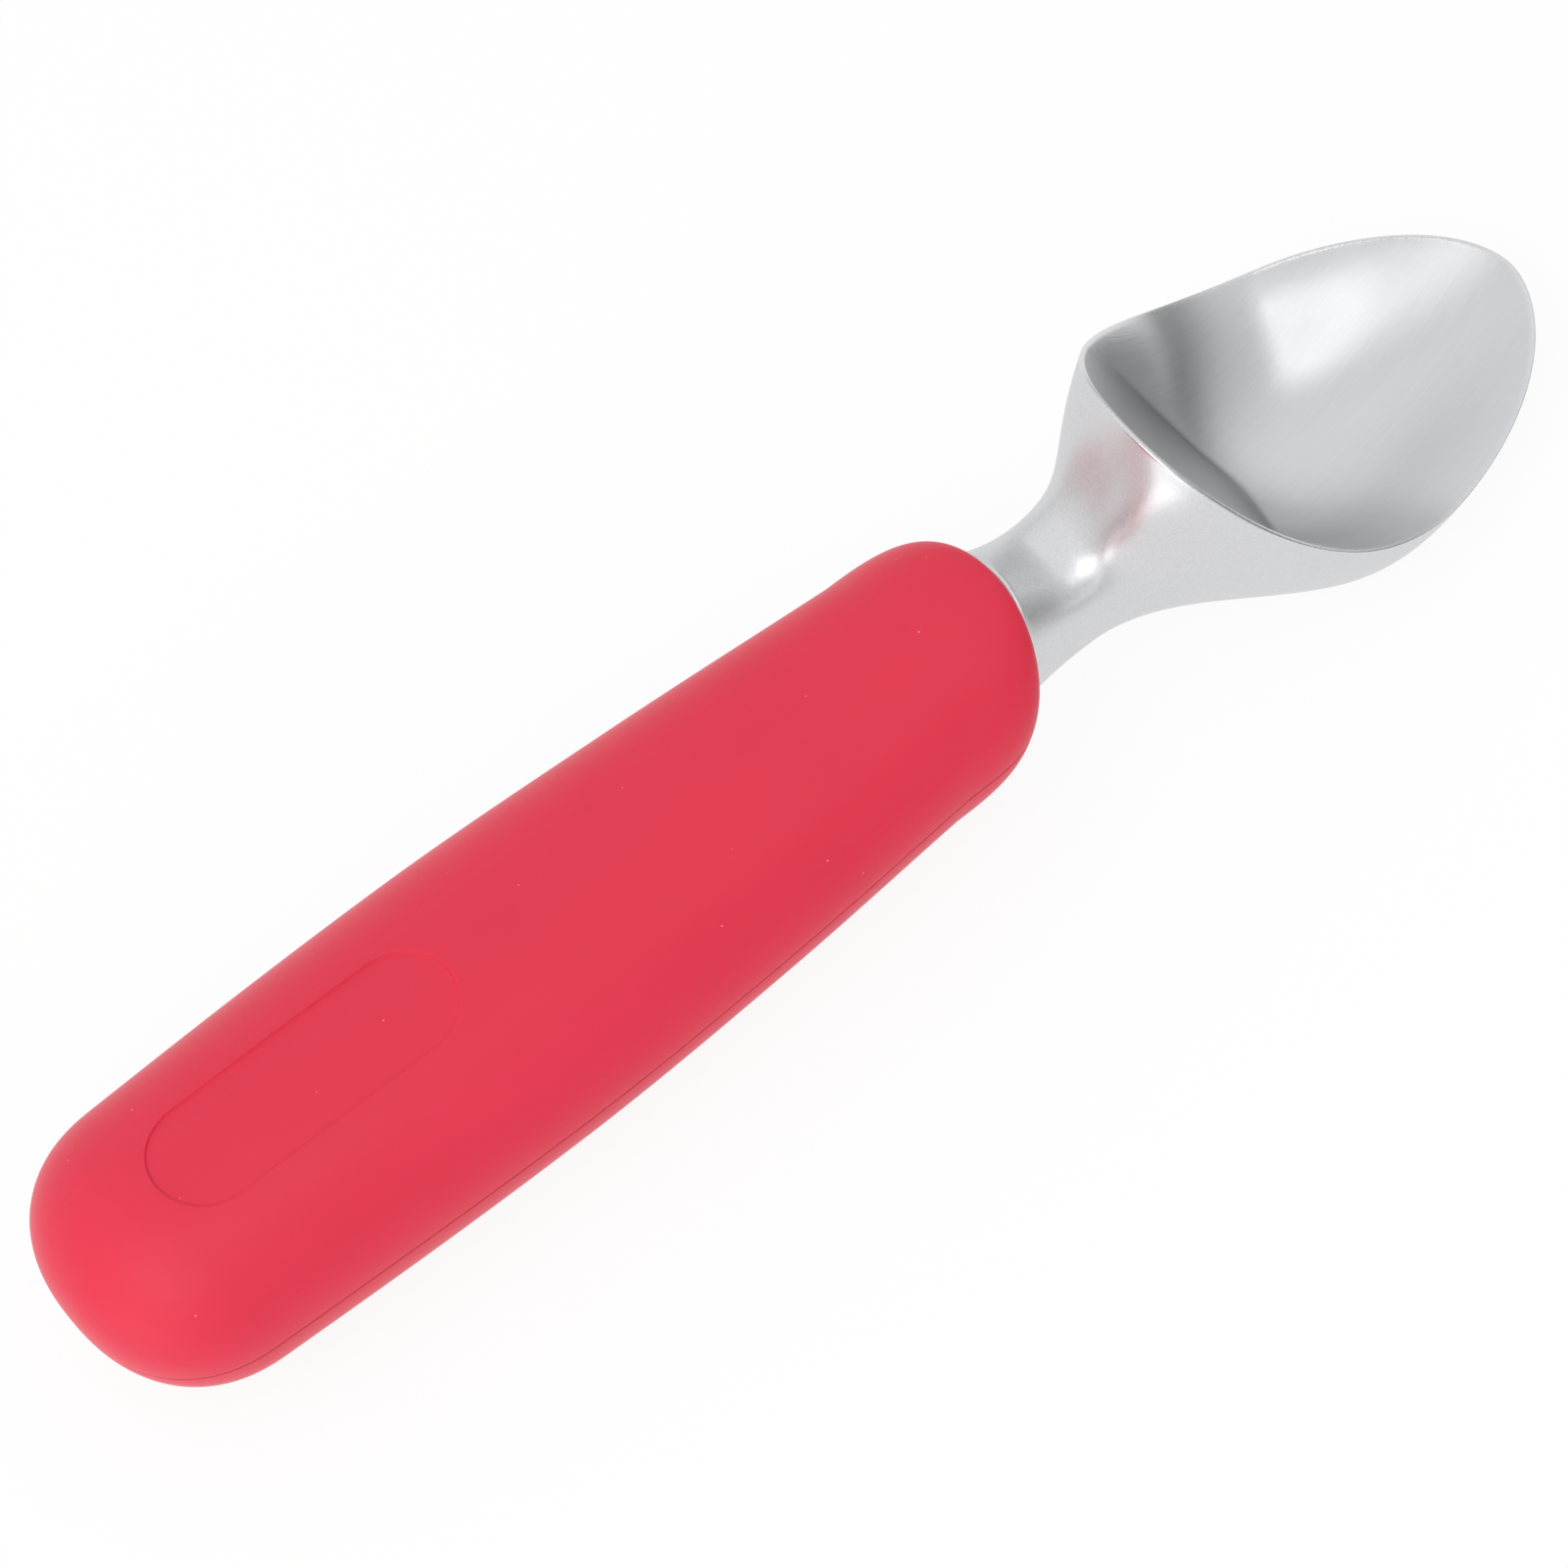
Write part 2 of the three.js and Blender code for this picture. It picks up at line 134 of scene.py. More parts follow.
def bare_finish(name):
    """A new empty material, and the object's own coordinates in it."""
    material = bpy.data.materials.new(name)
    material.use_nodes = True
    material.node_tree.nodes.clear()
    return material, Flow(material.node_tree).node("ShaderNodeTexCoord", output="Object")


def surface(place, sockets):
    """Closes a material with one Principled shader."""
    shader = place.node("ShaderNodeBsdfPrincipled", {}, sockets)
    place.node("ShaderNodeOutputMaterial", {}, {"Surface": shader})


def marked(place, name):
    """A number that the mesh carries at each of its points."""
    return place.node("ShaderNodeAttribute", {"attribute_name": name}, output="Fac")


axis_height = 0.013
head_low, head_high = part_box("scoop_head")

head_sizes = {
    "tip_x": head_high.x,
    "widest_x": head_high.x - 0.0304,
    "back_x": head_high.x - 0.0502,
    "half_width": head_high.y,
    "back_roundness": 2.25,
    "front_roundness": 1.82,
    "back_rise": head_high.z - axis_height,
    "side_drop": 0.0051,
    "tip_drop": 0.0046,
    "rise_length": 0.0298,
    "rise_power": 2.1,
    "tip_length": 0.0125,
    "land": 0.00055,
    "land_crown": 0.0002,
    "waist_x": 0.03325,
    "waist_half_width": 0.007,
    "waist_half_height": 0.0064,
    "waist_bend": 0.75,
    "corner_setback": 0.006,
    "corner_rise": 0.005,
    "floor_x": head_high.x - 0.028,
    "floor_z": 0.0018 - axis_height,
    "length_radius": 0.042,
    "side_radius": 0.03,
    "crease_x": head_high.x - 0.0402,
    "crease_lean": 0.27,
    "crease_bow": 5.0,
    "crease_softness": 0.001,
    "mouth_x": 0.02235,
    "mouth_slant": 0.54,
    "mouth_radius": 0.00915,
    "flange": 0.0006,
    "flange_edge": 0.00012,
    "flare_reach": 0.004,
    "spigot_x": 0.01336,
    "spigot_radius": 0.0068,
    "tang_x": head_low.x,
    "tang_half_width": 0.0045,
    "tang_half_height": 0.0022,
    "screw_radius": 0.0018,
    "front_screw_x": head_low.x + 0.056,
    "rear_screw_x": head_low.x + 0.012,
}
outer_reach = (0.015, 0.0093, 0.0066)
outer_setback = (0.029, 0.0064, 0.0033)
outer_drop = (0.01708, 0.01385, 0.0069)
inner_setback = (0.0093, 0.0064, 0.004)
inner_drop = (0.0044, 0.0041, 0.022)
turn_steps, flare_steps, back_steps, land_steps, bowl_steps = 224, 18, 96, 8, 84
seam_merge = 0.000005

steel, steel_place = bare_finish("satin_cast_steel")
in_bowl = marked(steel_place, "in_bowl")
on_land = marked(steel_place, "on_land")
steel_x = steel_place.node("ShaderNodeSeparateXYZ", {}, {0: steel_place})
steel_y, steel_z = steel_x.also("Y"), steel_x.also("Z") - axis_height
behind_crease = (
    head_sizes["crease_x"]
    - steel_x
    - steel_z * head_sizes["crease_lean"]
    - steel_y * steel_y * head_sizes["crease_bow"]
)
crease_blend = (-0.0004, 0.0006)
on_wall = in_bowl * ranged(behind_crease, *crease_blend)
stroke_turn = math.radians(12)
stroke_length, stroke_width = 0.007, 0.00012
stroke_place = steel_place.node(
    "ShaderNodeMapping",
    {"vector_type": "TEXTURE"},
    {
        "Vector": steel_place,
        "Rotation": (0, 0, stroke_turn),
        "Scale": (stroke_length, stroke_width, stroke_length),
    },
)
strokes = speckle(stroke_place, 1.0, 3.0, 0.6)
blast_scale, cloud_scale = 3400.0, 90.0
blasting = speckle(steel_place, blast_scale, 2.0, 0.6)
ground = in_bowl - on_wall
texture = ranged(strokes * ground + blasting * (1 - ground), 0.25, 0.75)
clouds = speckle(steel_place, cloud_scale)
mottling = texture * 0.7 + clouds * 0.3
blasted_dark, blasted_light = (0.63, 0.634, 0.645, 1), (0.73, 0.734, 0.745, 1)
ground_dark, ground_light = (0.61, 0.614, 0.625, 1), (0.67, 0.674, 0.685, 1)
# Painted shade: the steep back wall inside the bowl, behind the crease, is painted much darker than
# the rest of the steel.
painted_wall_shade, painted_wall_share = (0.3, 0.305, 0.32, 1), 0.7
blasted_colour = tinted(mottling, blasted_dark, blasted_light)
ground_colour = tinted(mottling, ground_dark, ground_light)
steel_colour = tinted(ground, blasted_colour, ground_colour)
steel_colour = tinted(on_wall * painted_wall_share, steel_colour, painted_wall_shade)
blast_roughness, ground_polish, land_polish = 0.34, 0.08, 0.14
steel_roughness = blast_roughness + texture * 0.06 + clouds * 0.04
steel_roughness = steel_roughness - ground * ground_polish - on_land * land_polish
steel_relief_depth = 0.000016
steel_relief = steel_place.node(
    "ShaderNodeBump",
    {},
    {"Strength": 0.3, "Distance": steel_relief_depth, "Height": texture * (1 - on_land)},
)
surface(
    steel_place,
    {
        "Base Color": steel_colour,
        "Metallic": 1.0,
        "Roughness": steel_roughness,
        "Normal": steel_relief,
    },
)

head_tree = bpy.data.node_groups.new("cast_head", "GeometryNodeTree")
head_tree.interface.new_socket("Geometry", in_out="OUTPUT", socket_type="NodeSocketGeometry")
for size_name in head_sizes:
    head_tree.interface.new_socket(size_name, in_out="INPUT", socket_type="NodeSocketFloat")
cast = Flow(head_tree)
head_input = cast.node("NodeGroupInput")
head = SimpleNamespace(**{name: head_input.also(name) for name in head_sizes})


def spot(x, y, z):
    return cast.node("ShaderNodeCombineXYZ", {}, {"X": x, "Y": y, "Z": z})


def bezier(share, *points):
    """A point on the Bezier curve of the given control points, by repeated division."""
    while len(points) > 1:
        points = [between(share, low, high) for low, high in zip(points, points[1:])]
    return points[0]


def round_bowl(turn, tip, side, back):
    """A value that goes smoothly round the bowl from the tip by the side to the back."""
    lean = turn.math("COSINE")
    return side + lean * ((tip - back) / 2) + lean * lean * ((tip + back) / 2 - side)


def rim_edge(turn):
    """The rim's outer edge: pointed at the tip, low along the sides and high at the back."""
    x = round_bowl(turn, head.tip_x, head.widest_x, head.back_x)
    ahead = x.math("GREATER_THAN", head.widest_x)
    length = ahead * (head.tip_x - head.widest_x) + (1 - ahead) * (head.widest_x - head.back_x)
    roundness = ahead * head.front_roundness + (1 - ahead) * head.back_roundness
    reach = ((x - head.widest_x).math("ABSOLUTE") / length).math("MINIMUM", 1.0)
    side = turn.math("SINE").math("SIGN")
    y = side * head.half_width * (1 - reach ** roundness) ** (1 / roundness)
    rise = (head.back_x + head.rise_length - x).math("MAXIMUM", 0.0) / head.rise_length
    lift = (x - head.tip_x + head.tip_length).math("MAXIMUM", 0.0) / head.tip_length
    upturn = (head.back_rise + head.side_drop) * rise ** head.rise_power
    return x, y, upturn + (head.side_drop - head.tip_drop) * lift * lift - head.side_drop


def rim_outward(turn):
    """The level direction straight out from the rim."""
    nudge = 0.01
    after, before = rim_edge(turn + nudge), rim_edge(turn - nudge)
    run, width = before[0] - after[0], after[1] - before[1]
    length = (run * run + width * width).math("SQRT")
    return width / length, run / length


def inner_edge(turn):
    """The rim's inner edge, one land inside the outer one."""
    x, y, z = rim_edge(turn)
    out_x, out_y = rim_outward(turn)
    return x - out_x * head.land, y - out_y * head.land, z


def aimed(start_x, start_y, rim, setback, drop):
    """The control point that a wall rises from, set back and down from the rim."""
    run, width = rim[0] - start_x, rim[1] - start_y
    length = (run * run + width * width).math("SQRT")
    return rim[0] - run / length * setback, rim[1] - width / length * setback, rim[2] - drop


def oval(turn, half_width, half_height, bend=1.0):
    """Across and up on an oval ring that starts at its foot; a small bend makes it squarer."""
    sine, cosine = turn.math("SINE"), turn.math("COSINE")
    width, height = (
        (swing.math("ABSOLUTE") - seam_merge).math("MAXIMUM", 0.0) for swing in (sine, cosine)
    )
    across = sine.math("SIGN") * half_width * width ** bend
    up = cosine.math("SIGN") * half_height * height ** bend
    return across, 0 - up


def collar(turn, ahead, radius):
    """A ring parallel to the slanted mouth of the grip."""
    y, z = oval(turn, radius, radius)
    return spot(head.mouth_x + ahead + head.mouth_slant * z, y, z)


def tang_ring(turn, x):
    square_bend = 0.25
    y, z = oval(turn, head.tang_half_width, head.tang_half_height, square_bend)
    return spot(x, y, z)


def waist_oval(turn):
    """Across and up on the neck's waist, a flattened bar with round corners."""
    return oval(turn, head.waist_half_width, head.waist_half_height, head.waist_bend)


def waist_ring(turn, ahead=0.0):
    return spot(head.waist_x + ahead, *waist_oval(turn))


def lifted(edge, rise):
    return spot(edge[0], edge[1], edge[2] + rise)


def flare_wall(turn, share):
    slanted = head.mouth_slant * head.mouth_radius * turn.math("COSINE")
    reach = spot(head.mouth_x + head.flange + head.flare_reach - slanted, *waist_oval(turn))
    edge = collar(turn, head.flange, head.mouth_radius - head.flange_edge)
    return bezier(share, edge, reach, waist_ring(turn))


def back_wall(turn, share):
    """The outside, from the neck's waist to the rim; its rise is a ramp at the back's corners."""
    rim = rim_edge(turn)
    y, _ = waist_oval(turn)
    lean = turn.math("COSINE").math("MINIMUM", 0.0)
    corner_spread, corner_gain = 6, 2
    corner = lean * lean * (1 - lean ** corner_spread) * corner_gain
    setback = round_bowl(turn, *outer_setback) + corner * head.corner_setback
    drop = round_bowl(turn, *outer_drop) - corner * head.corner_rise
    aim = aimed(head.waist_x, y, rim, setback, drop)
    leave = waist_ring(turn, round_bowl(turn, *outer_reach))
    return bezier(share, waist_ring(turn), leave, spot(*aim), lifted(rim, 0 - head.land_crown))


def bowl_aim(turn, inner):
    """The control point that the bowl's wall rises from."""
    setback, drop = round_bowl(turn, *inner_setback), round_bowl(turn, *inner_drop)
    return aimed(head.floor_x, 0.0, inner, setback, drop)


def vectors(operation, inputs):
    return cast.node("ShaderNodeVectorMath", {"operation": operation}, inputs)


def land_wall(turn, share):
    """The ground land, rounded over from the outer wall and on into the slope of the bowl."""
    outer, inner = rim_edge(turn), inner_edge(turn)
    start, end = lifted(outer, 0 - head.land_crown), lifted(inner, 0 - head.land_crown)
    slope = vectors("SUBTRACT", {0: end, 1: spot(*bowl_aim(turn, inner))})
    slope = vectors("NORMALIZE", {0: slope})
    slope = vectors("SCALE", {0: slope, "Scale": head.land_crown})
    shoulder = vectors("ADD", {0: slope, 1: end})
    return bezier(share, start, lifted(outer, head.land_crown / 3), shoulder, end)


def crease_share(points, crease_x):
    """How far along the bowl's curve the crease's slanted plane cuts it, found by halving."""
    a, b, c, d = (x + head.crease_lean * z - crease_x for x, _, z in points)
    cubic, square, slope = d - a + (b - c) * 3, (a - b * 2 + c) * 3, (b - a) * 3
    share, step, halvings, least_share = 0.5, 0.25, 12, 0.005
    for _ in range(halvings):
        ahead = ((cubic * share + square) * share + slope) * share + a
        share = share - ahead.math("SIGN") * step
        step = step / 2
    return share.math("MAXIMUM", least_share)


def bowl_wall(turn, share):
    """The smooth bowl, whose back is filled by a straight steep wall that ends in a crease."""
    x, y, z = inner_edge(turn)
    aim = bowl_aim(turn, (x, y, z))
    run = x - head.floor_x
    bend = run * run / head.length_radius + y * y / head.side_radius
    reach = ((aim[2] - head.floor_z) * 2 / (bend * 3)).math("SQRT")
    leave = (head.floor_x + run * reach, y * reach, head.floor_z)
    points = [(x, y, z - head.land_crown), aim, leave, (head.floor_x, 0.0, head.floor_z)]
    spots = [spot(*point) for point in points]

    def inward(at):
        """A point of the curve: its place, and its distance inside the rim."""
        along = cast.node("ShaderNodeSeparateXYZ", {}, {0: bezier(at, *spots)})
        run, width = x - along, y - along.also("Y")
        return along, along.also("Y"), along.also("Z"), (run * run + width * width).math("SQRT")

    along, across, height, inside = inward(share)
    crease_x = head.crease_x - head.crease_bow * y * y
    _, _, foot, foot_inside = inward(crease_share(points, crease_x))
    top = z - head.land_crown
    walled = (x + head.crease_lean * top).math("LESS_THAN", crease_x)
    slope = (top - foot) / foot_inside.math("MAXIMUM", seam_merge)
    above = top - slope * inside - height
    wall_softness = 0.3
    softness = inside.math("MINIMUM", foot_inside) * wall_softness
    softness = softness.math("MINIMUM", head.crease_softness).math("MAXIMUM", seam_merge)
    near = (above + softness).math("MAXIMUM", 0.0).math("MINIMUM", softness * 2)
    lift = near * near / (softness * 4) + (above - softness).math("MAXIMUM", 0.0)
    return spot(along, across, height + lift * walled)


def band(steps, wall, mark=None):
    """One band of the skin: a grid with its long side round the axis, bent to the wall's rule."""
    grid = cast.node(
        "GeometryNodeMeshGrid",
        {},
        {"Size X": 1.0, "Size Y": 1.0, "Vertices X": turn_steps + 1, "Vertices Y": steps + 1},
    )
    flat = cast.node("GeometryNodeInputPosition")
    u = cast.node("ShaderNodeSeparateXYZ", {}, {0: flat})
    place = wall((u + 0.5) * math.tau, u.also("Y") + 0.5)
    bent = cast.node("GeometryNodeSetPosition", {}, {"Geometry": grid, "Position": place})
    if mark is None:
        return bent
    return cast.node(
        "GeometryNodeStoreNamedAttribute",
        {"data_type": "FLOAT", "domain": "POINT"},
        {"Geometry": bent, "Name": mark, "Value": 1.0},
    )


def straight(start, end):
    """A band of straight lines from one ring to the next."""
    return band(1, lambda turn, share: between(share, start(turn), end(turn)))


edge_radius = head.mouth_radius - head.flange_edge
rings = [
    lambda turn: spot(head.tang_x, 0.0, 0.0),
    lambda turn: tang_ring(turn, head.tang_x),
    lambda turn: tang_ring(turn, head.spigot_x),
    lambda turn: spot(head.spigot_x, *oval(turn, head.spigot_radius, head.spigot_radius)),
    lambda turn: collar(turn, 0.0, head.spigot_radius),
    lambda turn: collar(turn, 0.0, edge_radius),
    lambda turn: collar(turn, head.flange_edge, head.mouth_radius),
    lambda turn: collar(turn, head.flange - head.flange_edge, head.mouth_radius),
    lambda turn: collar(turn, head.flange, edge_radius),
]
bands = [straight(start, end) for start, end in zip(rings, rings[1:])]
bands += [
    band(flare_steps, flare_wall),
    band(back_steps, back_wall),
    band(land_steps, land_wall, "on_land"),
    band(bowl_steps, bowl_wall, "in_bowl"),
]
skin = cast.node("GeometryNodeJoinGeometry", {}, {"Geometry": bands})
skin = cast.node("GeometryNodeMergeByDistance", {}, {"Geometry": skin, "Distance": seam_merge})
drill_sides, drill_length = 24, 0.02
drill = cast.node(
    "GeometryNodeMeshCylinder",
    {},
    {"Vertices": drill_sides, "Radius": head.screw_radius, "Depth": drill_length},
)
drills = [
    cast.node("GeometryNodeTransform", {}, {"Geometry": drill, "Translation": spot(x, 0.0, 0.0)})
    for x in (head.front_screw_x, head.rear_screw_x)
]
skin = cast.node(
    "GeometryNodeMeshBoolean",
    {"operation": "DIFFERENCE", "solver": "MANIFOLD"},
    {"Mesh 1": skin, "Mesh 2": drills},
)
skin = cast.node(
    "GeometryNodeTransform", {}, {"Geometry": skin, "Translation": (0, 0, axis_height)}
)
skin = cast.node("GeometryNodeSetShadeSmooth", {}, {"Geometry": skin, "Shade Smooth": True})
skin = cast.node("GeometryNodeRealizeInstances", {}, {"Geometry": skin})
skin = cast.node("GeometryNodeSetMaterial", {}, {"Geometry": skin, "Material": steel})
cast.node("NodeGroupOutput", {}, {"Geometry": skin})


def settled(piece, tree, sizes):
    """Runs a node tree once on a piece and keeps the result as its plain mesh."""
    modifier = piece.modifiers.new(tree.name, "NODES")
    modifier.node_group = tree
    for socket in tree.interface.items_tree:
        if socket.in_out == "INPUT":
            modifier[socket.identifier] = sizes[socket.name]
    graph = bpy.context.evaluated_depsgraph_get()
    mesh = bpy.data.meshes.new_from_object(piece.evaluated_get(graph))
    piece.modifiers.clear()
    mesh.name = piece.name
    piece.data = mesh


def placed(name, mesh):
    """A new piece in the scene, at the origin."""
    piece = bpy.data.objects.new(name, mesh)
    bpy.context.scene.collection.objects.link(piece)
    return piece


head_piece = placed("cast_scoop_head", bpy.data.meshes.new("cast_scoop_head"))
settled(head_piece, head_tree, head_sizes)
head_edge_angle = math.radians(50)
head_piece.data.set_sharp_from_angle(angle=head_edge_angle)
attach(head_piece, "root")
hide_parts("scoop_head")


# Grip sleeve: the thick soft grip, moulded in red silicone over the core in a two-part mould.
# The mould's parting line runs round its middle, and a shallow stadium panel is let into its top.
# It is a hollow shell, open at the mouth where the spigot of the head goes in.
grip_low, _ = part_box("grip_sleeve")
butt_lean = 0.00011
butt_x = grip_low.x + butt_lean
mouth_x, mouth_slant, mouth_radius = 0.02205, 0.54, 0.00915
butt_slant, slant_run = -0.1, 0.05
butt_rounding, butt_squareness = 0.015, 2.28
shoulder_rounding, shoulder_squareness = 0.0105, 3.05
shoulder_x = mouth_x - shoulder_rounding
grip_roundness = 2.15
bore_radius, bore_end_x, grip_wall = 0.0071, 0.011859, 0.0022
width_stations = (butt_x, butt_x + 0.053, shoulder_x - 0.025, shoulder_x)
half_widths = (0.0162, 0.0175, 0.01638, 0.0143)
height_stations = (butt_x, butt_x + 0.035, shoulder_x - 0.025, shoulder_x)
half_heights = (0.0126, 0.01312, 0.0113, 0.011)
panel_x, panel_half_length, panel_radius = butt_x + 0.0329, 0.01865, 0.0062
panel_depth, panel_margin = 0.00032, 0.0032
parting_depth, parting_fade = 0.00009, 0.004


def flowing(stations, sizes, x):
    """A smooth run of sizes through the stations, each slope taken from its neighbours."""
    stations, sizes = np.array(stations), np.array(sizes)
    first = np.maximum(np.arange(len(sizes)) - 1, 0)
    last = np.minimum(np.arange(len(sizes)) + 1, len(sizes) - 1)
    slopes = (sizes[last] - sizes[first]) / (stations[last] - stations[first])
    i = np.clip(np.searchsorted(stations, x) - 1, 0, len(stations) - 2)
    span, rise = stations[i + 1] - stations[i], sizes[i + 1] - sizes[i]
    u = np.clip((x - stations[i]) / span, 0, 1)
    bend = (1 - u) * (slopes[i] * span - rise) + u * (rise - slopes[i + 1] * span)
    return sizes[i] + u * rise + u * (1 - u) * bend


def eased(x, start, end):
    u = np.clip((x - start) / (end - start), 0, 1)
    return u * u * (3 - 2 * u)


def slant_at(x):
    """How far the oval sections lean: back at the butt, forward at the mouth."""
    front = mouth_slant * eased(x, mouth_x - slant_run, mouth_x)
    return front + butt_slant * (1 - eased(x, butt_x, butt_x + slant_run))


def half_sizes(x, inset=0.0):
    """Half width and half height of the oval section at x, closed over the butt."""
    into = np.clip((x - butt_x - inset) / butt_rounding, 0, 1)
    cap = (1 - (1 - into) ** butt_squareness) ** (1 / butt_squareness)
    width = flowing(width_stations, half_widths, x) - inset
    height = flowing(height_stations, half_heights, x) - inset
    return width * cap, height * cap


def top_of_grip(x, y):
    """Height of the grip's upper skin over a point of the plan."""
    station = x
    for _ in range(8):
        width, height = half_sizes(station)
        z = height * (1 - np.abs(y / width) ** grip_roundness) ** (1 / grip_roundness)
        station = x - slant_at(station) * z
    return z


panel_start_x = panel_x - panel_half_length - panel_margin
panel_end_x = panel_x + panel_half_length + panel_margin
butt_end_turn = math.acos((1 - (panel_start_x - butt_x) / butt_rounding) ** (butt_squareness / 2))
butt_steps, panel_steps, palm_steps = 34, 73, 72
butt_turns = np.linspace(0, butt_end_turn, butt_steps)
butt_places = butt_x + butt_rounding * (1 - np.cos(butt_turns) ** (2 / butt_squareness))
panel_places = np.linspace(panel_start_x, panel_end_x, panel_steps)
palm_places = np.linspace(panel_end_x, shoulder_x, palm_steps)
body_places = np.concatenate([butt_places, panel_places[1:], palm_places[1:]])
panel_rows = (len(butt_places) - 1, len(butt_places) + len(panel_places) - 2)

column_step = 1.8
even_turns = np.arange(0, 360, column_step)
parting_turns = np.array([-0.75, -0.36, 0, 0.36, 0.75])
parting_shares, parting_room = {0.0: 1.0, 0.36: 0.25}, 0.8
even_turns = even_turns[np.abs(np.abs(even_turns - 180) - 90) > parting_room]
turns = np.sort(np.concatenate([even_turns, 90 + parting_turns, 270 + parting_turns]))
parting = np.array([parting_shares.get(round(abs(abs(t - 180) - 90), 2), 0.0) for t in turns])
panel_reach = 17 * column_step
panel_columns = [int(np.argmin(np.abs(turns - 180 - side * panel_reach))) for side in (-1, 1)]
sine, cosine = np.sin(np.radians(turns)), np.cos(np.radians(turns))


def oval_row(x, width, height, roundness, slant, groove=0.0):
    """One ring of the grip's skin, as points that start at its foot."""
    z = -height * np.sign(cosine) * np.abs(cosine) ** (2 / roundness)
    y = width * np.sign(sine) * np.abs(sine) ** (2 / roundness)
    y = y - np.sign(sine) * groove * parting
    return np.stack([x + slant * z, y, np.maximum(z, -axis_height)], axis=1)


grip_rows = []
for x in body_places:
    width, height = half_sizes(x)
    groove = parting_depth * eased(x, butt_x, butt_x + parting_fade)
    grip_rows.append(oval_row(x, width, height, grip_roundness, slant_at(x), groove))
shoulder_width, shoulder_height = half_sizes(shoulder_x)
quarter_turn = math.pi / 2
shoulder_steps, bore_edge_steps, cavity_steps = 30, 5, 30
for angle in np.linspace(0, quarter_turn, shoulder_steps)[1:]:
    across = math.cos(angle) ** (2 / shoulder_squareness) if angle < quarter_turn else 0.0
    x = shoulder_x + shoulder_rounding * math.sin(angle) ** (2 / shoulder_squareness)
    width = mouth_radius + (shoulder_width - mouth_radius) * across
    height = mouth_radius + (shoulder_height - mouth_radius) * across
    roundness = 2 + (grip_roundness - 2) * across
    grip_rows.append(oval_row(x, width, height, roundness, slant_at(x), parting_depth * across))
bore_edge = 0.00025
for angle in np.linspace(0, quarter_turn, bore_edge_steps):
    radius = bore_radius + bore_edge * (1 - math.sin(angle))
    x = mouth_x - bore_edge * (1 - math.cos(angle))
    grip_rows.append(oval_row(x, radius, radius, 2, mouth_slant))
grip_rows.append(oval_row(bore_end_x, bore_radius, bore_radius, 2, 0.0))
cavity_butt_x = butt_x + grip_wall
for share in np.linspace(0, 1, cavity_steps):
    x = bore_end_x + (cavity_butt_x - bore_end_x) * math.sin(share * math.pi / 2)
    grip_rows.append(oval_row(x, *half_sizes(x, grip_wall), grip_roundness, 0.0))

points = np.concatenate(grip_rows)
columns = len(turns)
index = np.arange(len(points)).reshape(-1, columns)
faces = []
for row in range(len(index) - 1):
    for column in range(columns):
        beside = (column + 1) % columns
        in_panel = panel_rows[0] <= row < panel_rows[1]
        if in_panel and panel_columns[0] <= column < panel_columns[1]:
            continue
        faces.append(
            (index[row, column], index[row, beside], index[row + 1, beside], index[row + 1, column])
        )

(row_a, row_b), (column_a, column_b) = panel_rows, panel_columns
panel_border = np.concatenate(
    [
        index[row_a, column_a:column_b],
        index[row_a:row_b, column_b],
        index[row_b, column_b:column_a:-1],
        index[row_b:row_a:-1, column_a],
    ]
)
border = points[panel_border][:, :2]
straight_half = panel_half_length - panel_radius
spine_x = np.clip(border[:, 0], panel_x - straight_half, panel_x + straight_half)
spine = np.stack([spine_x, np.zeros(len(border))], axis=1)
outward = border - spine
outward /= np.linalg.norm(outward, axis=1)[:, None]
outline = spine + outward * panel_radius
lip = 0.0002
apron = outline + outward * lip - border
apron_shares = (0.3, 0.55, 0.75, 0.9, 1.0)
edge_insets = (-0.00011, -0.00005, 0, 0.00005, 0.0001, 0.00017)
edge_depths = (0.03, 0.16, 0.45, 0.78, 0.95, 1.0)
floor_shares = (0.04, 0.1, 0.2, 0.35, 0.5, 0.65, 0.8, 0.9, 1.0)
panel_rings = [(border + apron * share, 0.0) for share in apron_shares]
panel_rings += [(outline - outward * inset, sunk) for inset, sunk in zip(edge_insets, edge_depths)]
panel_foot = outline - outward * edge_insets[-1]
panel_rings += [(panel_foot + (spine - panel_foot) * share, 1.0) for share in floor_shares]
outer_ring = panel_border
panel_points = []
for plan, sunk in panel_rings:
    height = top_of_grip(plan[:, 0], plan[:, 1]) - panel_depth * sunk
    panel_points.append(np.column_stack([plan, height]))
    inner_ring = len(points) + np.arange(len(border)) + (len(panel_points) - 1) * len(border)
    for corner in range(len(border)):
        after = (corner + 1) % len(border)
        faces.append((outer_ring[corner], outer_ring[after], inner_ring[after], inner_ring[corner]))
    outer_ring = inner_ring
points = np.concatenate([points, *panel_points])
points[:, 2] += axis_height

grip_mesh = bpy.data.meshes.new("silicone_grip")
grip_mesh.from_pydata(points.tolist(), [], [[int(corner) for corner in face] for face in faces])
parting_line = np.zeros(len(points))
parting_line[: len(grip_rows) * columns] = np.tile(parting, len(grip_rows))
parting_mark = grip_mesh.attributes.new("parting_line", "FLOAT", "POINT")
parting_mark.data.foreach_set("value", parting_line.astype(np.float32))
shaping = bmesh.new()
shaping.from_mesh(grip_mesh)
grip_merge, grip_edge_angle = 0.000002, math.radians(55)
bmesh.ops.remove_doubles(shaping, verts=shaping.verts, dist=grip_merge)
bmesh.ops.delete(shaping, geom=[v for v in shaping.verts if not v.link_faces], context="VERTS")
for face in shaping.faces:
    face.smooth = True
shaping.to_mesh(grip_mesh)
shaping.free()
grip_mesh.set_sharp_from_angle(angle=grip_edge_angle)

